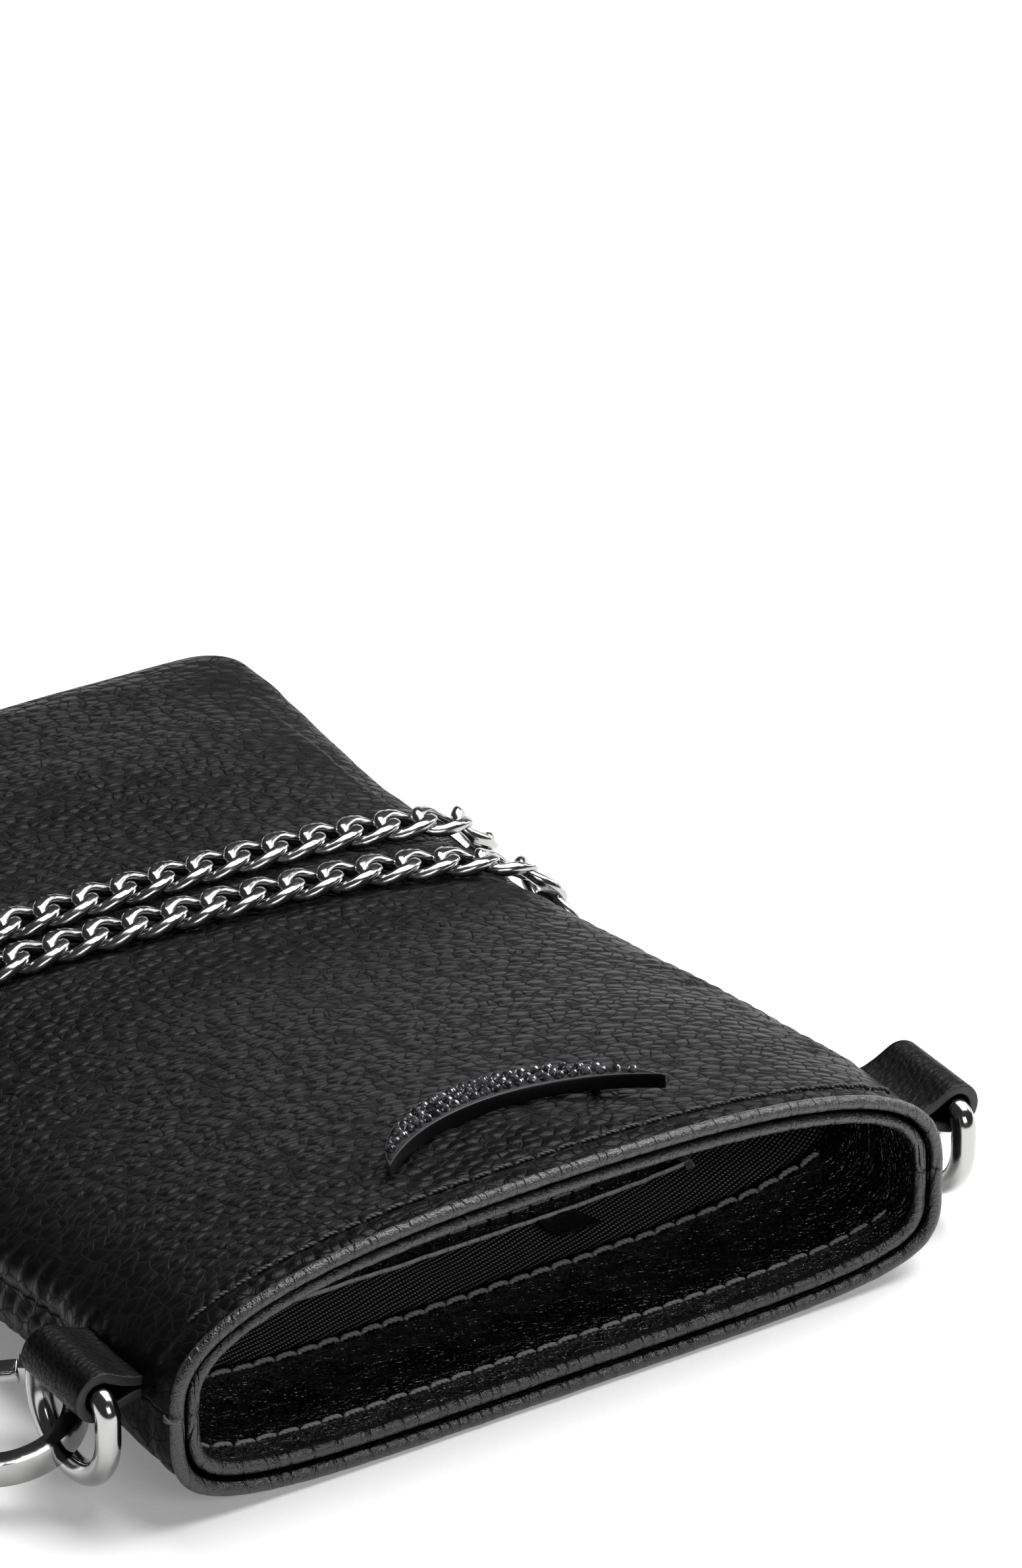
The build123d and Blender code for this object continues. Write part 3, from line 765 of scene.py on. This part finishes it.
def panel_points(above):
    """The panel's outer skin, from inside its turned edge at the mouth to the closed end."""
    shares = np.linspace(0, 1, 232)
    rows = []
    for turn in np.radians(np.linspace(250, -38, BEAD_ROWS)):
        inset = 0.45 - OUTER_BEAD * math.cos(turn)
        shift = OUTER_BEAD * (1 - math.sin(turn))
        row = section_curve(0, inset, above, shares)
        row[:, 1] += shift
        rows.append(row)
    for depth, inset in ((1.85, 0.22), (2.3, 0.22), (2.9, 0.05)):
        rows.append(section_curve(depth, inset, above, shares))
    depths = steps(3.4, LENGTH - END_RUN, 0.62)
    depths += [LENGTH - END_RUN * (1 - math.sin(turn)) for turn in np.linspace(0.06, math.pi / 2, 26)]
    plain = surface(depths, shares, 0, above)
    points = np.concatenate([np.stack(rows), plain])
    normals = outward(points, above)
    moved = points + normals * relief(points, above)[..., None]
    rolled = points[:BEAD_ROWS]
    ripple = 0.05 * lumps(rolled * np.array([1, 0.3, 0.3]), 1.5, 8.0)
    moved[:BEAD_ROWS] = rolled + normals[:BEAD_ROWS] * ripple[..., None]
    if not above:
        moved[..., 2] = np.maximum(moved[..., 2], TABLE_GAP / 2)
    return moved


def sheet_piece(name, points, material, thickness, flip, slot, replaces, rim=None, rim_rows=()):
    """A grid of points made into a skin, thickened away from its seen side, with a finish for its rim."""
    rows, columns = points.shape[:2]
    faces = grid_faces(rows, columns)
    if flip:
        faces = [tuple(reversed(f)) for f in faces]
    made = piece(name, points.reshape(-1, 3), faces, material, slot=slot, replaces=replaces)
    if rim:
        made.data.materials.append(rim)
        for polygon in made.data.polygons:
            if polygon.index // (columns - 1) in rim_rows:
                polygon.material_index = 1
    solid = made.modifiers.new("thickness", "SOLIDIFY")
    solid.thickness = thickness * MM
    solid.offset = -1
    return made


for above, word in ((True, "front"), (False, "back")):
    points = panel_points(above)
    node = f"{word}_panel"
    rolled = range(BEAD_ROWS)
    sheet_piece(f"{node}_leather", points, LEATHER, 1.2, above, "leather", [node], ROLLED_EDGE, rolled)


def facing_points(above):
    """The facing's seen side, from its inner edge to round its rolled edge."""
    shares = np.linspace(0, 1, 200)
    depths = steps(23, 2.6, 0.6)
    rows = [section_curve(d, FACING_INSET, above, shares) for d in depths]
    for turn in np.radians(np.linspace(-40, 250, BEAD_ROWS)):
        inset = 2.8 + INNER_BEAD * math.cos(turn)
        row = section_curve(0, inset, above, shares)
        row[:, 1] += 0.4 + INNER_BEAD * (1 - math.sin(turn))
        rows.append(row)
    points = np.stack(rows)
    normals = -outward(points[::-1], above)[::-1]
    depth = points[..., 1] - MOUTH_Y
    soft = 0.28 * lumps(points, 6, 11.0) * np.clip((depth - 3) / 4, 0, 1)
    soft += 0.07 * lumps(points * np.array([1, 0.4, 0.4]), 1.3, 12.0)
    soft -= 0.25 * np.exp(-(((depth - FACING_ROW) / 0.7) ** 2))
    soft -= 0.2 * np.exp(-(((depth - MOUTH_ROW) / 0.7) ** 2))
    return points + normals * soft[..., None]


for above, word in ((True, "front"), (False, "back")):
    points = facing_points(above)
    node = f"{word}_facing"
    rolled = range(len(points) - BEAD_ROWS - 1, len(points))
    sheet_piece(f"{node}_leather", points, FACING, 0.9, above, "facing_leather", [node], ROLLED_EDGE, rolled)


def lining_points(above):
    """The lining's seen side, a little slack, from under the facing to the closed end."""
    shares = np.linspace(0, 1, 170)
    depths = steps(21, 172, 1.0) + [174, 176, 177.4, 178.2]
    points = surface(depths, shares, 2.1, above)
    normals = -outward(points, above)
    depth = points[..., 1] - MOUTH_Y
    soft = 0.45 * (0.5 + lumps(points * np.array([1, 0.45, 1]), 16, 21.0)) + 0.18 * lumps(points, 5, 22.0)
    soft *= np.clip((depth - 21) / 3, 0, 1) * np.clip((176 - depth) / 10, 0, 1)
    return points + normals * soft[..., None]


sheet_piece("front_lining_cloth", lining_points(True), TWILL, 0.4, False, "lining", ["front_lining"])
sheet_piece("back_lining_cloth", lining_points(False), TWILL, 0.4, True, "lining", ["back_lining"])


# ---------------------------------------------------------------- places on the pouch
def spot(x, depth, inset, above):
    """A point of a layer over a place on the plan, with its outward normal and its direction across."""

    def height(px, pd):
        width, seam, top, bottom, power = section_at(pd)
        power = power if above else bottom_power(pd)
        reach = (top - inset if above else bottom + inset) - seam
        z = seam + reach * max(0.0, 1 - (abs(px) / (width - inset)) ** power) ** (1 / power)
        return z - float(lean(px, pd, z))

    z = height(x, depth)
    along_x = np.array([1.0, 0, height(x + 0.5, depth) - height(x - 0.5, depth)])
    along_y = np.array([0, 1.0, height(x, depth + 0.5) - height(x, depth - 0.5)])
    normal = unit(np.cross(along_x, along_y))
    return np.array([x, depth + MOUTH_Y - lip(depth, z), z]), normal if above else -normal, unit(along_x)


def join(parts):
    """One list of points and faces from several."""
    points, faces, start = [], [], 0
    for part_points, part_faces in parts:
        points.append(np.asarray(part_points, float))
        faces += [tuple(i + start for i in face) for face in part_faces]
        start += len(part_points)
    return np.concatenate(points), faces


# ---------------------------------------------------------------- stitches
STITCH_PITCH = 3.1
# Half of a row's run across the pouch, and how far the pocket's row is inside the leather.
ROW_HALF, POCKET_ROW_HALF, POCKET_ROW_INSET = 49.6, 34.1, 2.75


def one_stitch(centre, along, out, size, length, seed):
    """A stitch of two plied cords that rises from one hole and goes down at the next."""
    side = np.cross(out, along)
    share = np.linspace(-1, 1, 15)
    height = size * (0.75 * np.sqrt(np.clip(1 - np.abs(share) ** 2.6, 0, 1)) - 0.45 * np.abs(share) ** 6)
    middle = centre + along * (share * length / 2)[:, None] + out * height[:, None]
    turn = share * math.pi * 1.9 + seed
    parts = []
    for phase in (0, math.pi):
        swing = size * 0.42 * (1 - 0.5 * np.abs(share) ** 4)
        path = middle + side * (swing * np.cos(turn + phase))[:, None]
        path += out * (swing * 0.8 * np.sin(turn + phase))[:, None]
        parts.append(tube(path, circle(size * 0.62, 8), closed=False, normals=np.tile(out, (len(path), 1))))
    return parts


def stitch_row(depth, inset, above, side, half_run=ROW_HALF, size=0.34, lift=-0.18):
    """Stitches across a layer: side is 1 on its outer face and -1 on its inner face."""
    count = int(2 * half_run / STITCH_PITCH) + 1
    parts = []
    for i in range(count):
        x = (i - (count - 1) / 2) * STITCH_PITCH
        centre, normal, along = spot(x, depth + 0.1 * math.sin(2.3 * i), inset, above)
        out = side * normal
        parts += one_stitch(centre + out * lift, along, out, size, STITCH_PITCH * 0.9, 0.7 * i)
    return parts


for above, word in ((True, "front"), (False, "back")):
    outer = stitch_row(MOUTH_ROW, 0, above, 1)
    inner = stitch_row(MOUTH_ROW, FACING_INSET, above, -1)
    lower = stitch_row(FACING_ROW, FACING_INSET, above, -1, size=0.4)
    for name, row, colour, node in (
        ("mouth_thread", outer, THREAD, "mouth_stitches"),
        ("inner_thread", inner, INNER_THREAD, "mouth_stitches"),
        ("facing_thread", lower, INNER_THREAD, "facing_stitches"),
    ):
        piece(f"{word}_{name}", *join(row), colour, slot="thread", replaces=[f"{word}_{node}"])
row = stitch_row(POCKET_ROW, POCKET_ROW_INSET, False, -1, POCKET_ROW_HALF, size=0.27, lift=0.0)
piece("pocket_thread", *join(row), INNER_THREAD, slot="thread", replaces=["pocket_stitches"])


# ---------------------------------------------------------------- slip pocket and label
POCKET_HALF = 38.7
POCKET_INSET, BINDING_INSET = 2.55, 2.95
# The roll at the pocket's edge, the band behind it, and the label that comes out of it.
ROLL_DEPTH, ROLL_RADIUS = 32.3, 0.36
BAND_DEPTHS = (36.2, 35.2, 34.2, 33.4, 32.9)
LABEL_X, LABEL_WIDTH, LABEL_REACH = 18.2, 5.8, 6.0
EDGE_DEPTH = 32.6


def pocket_shares(depth, inset):
    """The shares of a lower section's arc that the pocket's width covers."""
    row = section_curve(depth, inset, False, np.linspace(0, 1, 400))
    inside = np.nonzero(np.abs(row[:, 0]) <= POCKET_HALF)[0]
    return np.linspace(inside[0] / 399, inside[-1] / 399, 110)


def pocket_row(depth, inset):
    """A row of points across the pocket."""
    return section_curve(depth, inset, False, pocket_shares(depth, inset))


def pocket_points():
    """The pocket's cloth, from its edge to its floor."""
    rows = []
    for depth in steps(34, 92, 1.0):
        row = pocket_row(depth, POCKET_INSET)
        row[:, 2] += 0.16 * (1 + lumps(row * np.array([1, 0.4, 1]), 12, 31.0))
        rows.append(row)
    return np.stack(rows)


def binding_points():
    """The pocket edge's thin leather roll, and the band behind it."""
    rows = [pocket_row(depth, BINDING_INSET) for depth in BAND_DEPTHS]
    for turn in np.radians(np.linspace(20, 270, 14)):
        row = pocket_row(ROLL_DEPTH, BINDING_INSET)
        row[:, 1] -= ROLL_RADIUS * math.sin(turn)
        row[:, 2] += 0.5 + ROLL_RADIUS * math.cos(turn)
        rows.append(row)
    points = np.stack(rows)
    points[..., 2] += 0.12 * lumps(points * np.array([1, 0.2, 0.2]), 2.2, 33.0)
    points[..., 1] += 0.14 * lumps(points * np.array([1, 0.2, 0.2]), 3.5, 34.0)
    return points


sheet_piece("pocket_cloth", pocket_points(), TWILL, 0.3, True, "lining", ["card_pocket"])
sheet_piece(
    "pocket_edge_leather",
    binding_points(),
    FACING,
    0.25,
    False,
    "facing_leather",
    ["pocket_binding"],
    # The roll's rows get the painted highlight colour.
    POCKET_EDGE_PAINTED_HIGHLIGHT,
    range(len(BAND_DEPTHS) - 1, 20),
)


def bar_tacks():
    """Short close stitches that fasten each end of the pocket's edge."""
    parts = []
    for x in (-POCKET_HALF, POCKET_HALF):
        for k in range(7):
            centre, normal, _ = spot(x - math.copysign(0.315 * (k - 3), x), EDGE_DEPTH, 2.6, False)
            turns = np.linspace(0, math.pi, 9)
            path = [centre - normal * (0.35 + 0.6 * math.sin(t)) + (0, 1.3 * math.cos(t), 0) for t in turns]
            parts.append(tube(path, circle(0.17, 6), closed=False))
    return parts


piece("pocket_bar_tacks", *join(bar_tacks()), INNER_THREAD, slot="thread")


def label_points():
    """A small blank woven label: it comes out of the pocket's edge and its free end lifts a little."""
    rows = []
    for depth in steps(EDGE_DEPTH, EDGE_DEPTH - LABEL_REACH, 0.4):
        free = (EDGE_DEPTH - depth) / LABEL_REACH
        row = []
        for x in np.linspace(LABEL_X - LABEL_WIDTH / 2, LABEL_X + LABEL_WIDTH / 2, 18):
            centre, normal, _ = spot(x + 0.5 * free, depth, 2.6, False)
            row.append(centre - normal * (0.45 + 0.7 * free**2 + 0.12 * math.sin(x * 1.7 + depth)))
        rows.append(row)
    return np.array(rows)


sheet_piece("blank_label", label_points(), LABEL_CLOTH, 0.3, False, "label", ["pocket_label"])


# ---------------------------------------------------------------- side loops and D rings
# Where a ring's straight bar is, its wire's radius, its bow's radius and the arms between them.
RING_X, RING_Z, RING_DEPTH = 62.3, 16.6, 14.3
RING_WIRE, RING_BOW, RING_ARM = 1.6, 8.3, 4.8
LOOP_START, LOOP_WIDTH = 7.6, 13.4
LOOP_RADIUS, LOOP_THICK = 2.7, 1.4


def loop_piece(side, name, node):
    """A leather strip folded round the ring's bar, its two plies going into the side seam."""
    plies = [(-8.4, -0.5), (-6.4, -0.45), (-4.6, -0.3), (-3.5, 0.25)]
    path = [(u, w + 0.85) for u, w in plies]
    for turn in np.radians(np.linspace(118, -118, 34)):
        path.append((LOOP_RADIUS * math.cos(turn), LOOP_RADIUS * math.sin(turn)))
    path += [(-3.3, -1.55)] + [(u, w - 0.62) for u, w in reversed(plies[:3])]
    middle = MOUTH_Y + LOOP_START + LOOP_WIDTH / 2
    line = np.array([(side * (RING_X + u), middle, RING_Z + w) for u, w in path])
    for _ in range(2):
        line[1:-1] = (line[:-2] + 2 * line[1:-1] + line[2:]) / 4
    along = unit(np.gradient(line, axis=0))
    normals = np.cross(along, np.array([0, side, 0.0]))
    outline = rounded_box(LOOP_WIDTH, LOOP_THICK, 0.35, 3)
    dense = []
    for a, b in zip(outline, outline[1:] + outline[:1]):
        count = max(1, int(math.hypot(b[0] - a[0], b[1] - a[1]) / 0.7))
        dense += [(a[0] + (b[0] - a[0]) * k / count, a[1] + (b[1] - a[1]) * k / count) for k in range(count)]
    points, faces = tube(line, dense, closed=False, normals=normals)
    away = unit(points - np.array([side * RING_X, 0, RING_Z])) * np.array([1, 0, 1])
    points += 0.07 * lumps(points, 3.0, 41.0)[:, None] * away
    made = piece(name, points, faces, TAB_LEATHER, slot="leather", replaces=[node])
    made.data.materials.append(RAW_EDGE)
    for polygon in made.data.polygons:
        if abs(polygon.center.y / MM - middle) > LOOP_WIDTH / 2 - 0.2:
            polygon.material_index = 1
    return made


def d_ring(side, name, node):
    """The wire D: a straight bar in the loop, two arms and a round bow."""
    middle, bow_z, bend = MOUTH_Y + RING_DEPTH, RING_Z - RING_ARM, 2.2
    turns = np.linspace(0, -math.pi, 40)
    path = [(middle + RING_BOW * math.cos(turn), bow_z + RING_BOW * math.sin(turn)) for turn in turns]
    for sign, start in ((-1, math.pi), (1, math.pi / 2)):
        for turn in np.linspace(start, start - math.pi / 2, 9):
            y = middle + sign * (RING_BOW - bend) + bend * math.cos(turn)
            path.append((y, RING_Z - bend + bend * math.sin(turn)))
        if sign < 0:
            path += [(middle + y, RING_Z) for y in (-3.0, 0.0, 3.0)]
    line = [(side * RING_X, y, z) for y, z in path]
    points, faces = tube(line, circle(RING_WIRE, 28), normals=np.tile((1.0, 0, 0), (len(line), 1)))
    return piece(name, points, faces, STEEL, rides=node, slot="steel", replaces=[node])


for side, word in ((-1, "left"), (1, "right")):
    loop_piece(side, f"{word}_loop_leather", f"{word}_loop")
    d_ring(side, f"{word}_d_ring", f"{word}_ring")


# ---------------------------------------------------------------- clasp and plain links
def dress(node, material, bevel=0.0):
    """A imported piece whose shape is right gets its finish, and softened edges."""
    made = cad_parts[node]
    made.data.materials.clear()
    made.data.materials.append(material)
    for polygon in made.data.polygons:
        polygon.use_smooth = True
    if bevel:
        weld = made.modifiers.new("weld", "WELD")
        weld.merge_threshold = 0.00001
        edge = made.modifiers.new("edge", "BEVEL")
        edge.width = bevel * MM
        edge.segments = 3
        edge.limit_method = "ANGLE"
        edge.angle_limit = math.radians(35)
        edge.harden_normals = True


dress("clasp_body", STEEL, 0.45)
dress("clasp_gate", STEEL, 0.35)
dress("clasp_pin", STEEL)
dress("clasp_swivel", STEEL)
dress("clasp_link", STEEL)
dress("ring_link", STEEL)
dress("ornament_frame", BLACK_METAL, 0.3)
dress("ornament_posts", BLACK_METAL)
dress("ornament_washers", STEEL)


# ---------------------------------------------------------------- the ornament's stones
def stone(radius, height, sides=8):
    """A faceted stone: a flat table, sloped crown facets and a straight girdle."""
    rings = []
    for share, z, shift in ((1.0, -0.1, 0), (1.0, 0.22, 0), (0.84, 0.62, 0.5), (0.52, 1.0, 0)):
        turns = (np.arange(sides) + shift) * 2 * math.pi / sides
        r = radius * share
        rings.append(np.stack([r * np.cos(turns), r * np.sin(turns), np.full(sides, z * height)], -1))
    points = np.concatenate(rings)
    faces = [tuple(reversed(range(sides)))]
    faces += grid_faces(2, sides, wrap_columns=True)
    for level, ahead in ((1, 1), (2, 0)):
        low, high = level * sides, (level + 1) * sides
        for i in range(sides):
            j = (i + 1) % sides
            if ahead:
                faces += [(low + i, low + j, high + i), (low + j, high + j, high + i)]
            else:
                faces += [(low + i, high + j, high + i), (low + i, low + j, high + j)]
    faces.append(tuple(range(3 * sides, 4 * sides)))
    return points, faces


# The crescent: half its length, and how far its outer and inner arcs rise.
ORNAMENT_HALF, ORNAMENT_RISE, ORNAMENT_INNER = 20.0, 14.5, 8.5
ORNAMENT_TILT = math.radians(7.3)
ORNAMENT_DEPTH = 11.5
STONE_PITCH, STONE_RADIUS, STONE_HEIGHT = 1.6, 0.72, 0.7


def crescent_y(x, rise):
    """How far an arc of a rise stands above the crescent's tips at a place across."""
    arc = (ORNAMENT_HALF**2 + rise**2) / (2 * rise)
    return rise - arc + math.sqrt(arc**2 - x**2)


def stone_parts():
    """Stones in columns between the crescent's two arcs, each a little turned."""
    low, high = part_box("ornament_stones")
    x_dir = np.array([1.0, 0, 0])
    y_dir = np.array([0, math.cos(ORNAMENT_TILT), -math.sin(ORNAMENT_TILT)])
    z_dir = np.array([0, math.sin(ORNAMENT_TILT), math.cos(ORNAMENT_TILT)])
    section = [np.interp(ORNAMENT_DEPTH, SECTIONS[:, 0], column) for column in SECTIONS.T]
    width, seam, top, power = (section[k] for k in (1, 2, 3, 5))
    centre_x = (low.x + high.x) / 2 / MM
    z = seam + (top - seam) * (1 - (abs(centre_x) / width) ** power) ** (1 / power) + 0.35
    origin = np.array([centre_x, MOUTH_Y + ORNAMENT_DEPTH, z])
    shape, shape_faces = stone(STONE_RADIUS, STONE_HEIGHT)
    parts = []
    columns = int(ORNAMENT_HALF / STONE_PITCH)
    for column in range(-columns, columns + 1):
        x = column * STONE_PITCH
        near, far = crescent_y(x, ORNAMENT_INNER), crescent_y(x, ORNAMENT_RISE)
        rows = int((far - near - 0.9) / 1.4)
        for row in range(rows):
            y = near + (far - near) * (row + 1) / (rows + 1)
            turn = 1.9 * column + 0.8 * row
            cos, sin = math.cos(turn), math.sin(turn)
            spin = shape @ np.array([[cos, sin, 0], [-sin, cos, 0], [0, 0, 1]])
            spin[:, 2] += 0.05 * spin[:, 0] * math.sin(3 * turn) + 0.05 * spin[:, 1] * math.cos(5 * turn)
            place = origin + x * x_dir + y * y_dir + 2.0 * z_dir
            parts.append((place + spin @ np.stack([x_dir, y_dir, z_dir]), shape_faces))
    return parts


stones = join(stone_parts())
piece("faceted_stones", *stones, STONE, slot="stones", smooth=False, replaces=["ornament_stones"])


# ---------------------------------------------------------------- edge joints and their thread
def joint_thread():
    """A short pale thread knot on the left joint of the outer turned edge."""
    width, seam = section_at(0)[:2]
    middle = np.array([0.4 - width, MOUTH_Y + 1.0, seam + 0.2])
    parts = []
    for k in range(2):
        turns = np.linspace(0.1, math.pi * 0.62, 14)
        path = [
            middle + (-1.42 * math.sin(t), -1.42 * math.cos(t), (k - 0.5) * 0.5 + 0.3 * t * (1 - 2 * k))
            for t in turns
        ]
        parts.append(tube(path, circle(0.17, 8), closed=False))
    return parts


piece("joint_thread", *join(joint_thread()), PALE_THREAD, slot="thread")


# ---------------------------------------------------------------- floor and finish
floor_mesh = bpy.data.meshes.new("floor")
floor_mesh.from_pydata([(-6, -6, 0), (6, -6, 0), (6, 6, 0), (-6, 6, 0)], [], [(0, 1, 2, 3)])
floor = bpy.data.objects.new("floor", floor_mesh)
bpy.context.scene.collection.objects.link(floor)
floor_mesh.materials.append(paper_floor("paper_floor"))
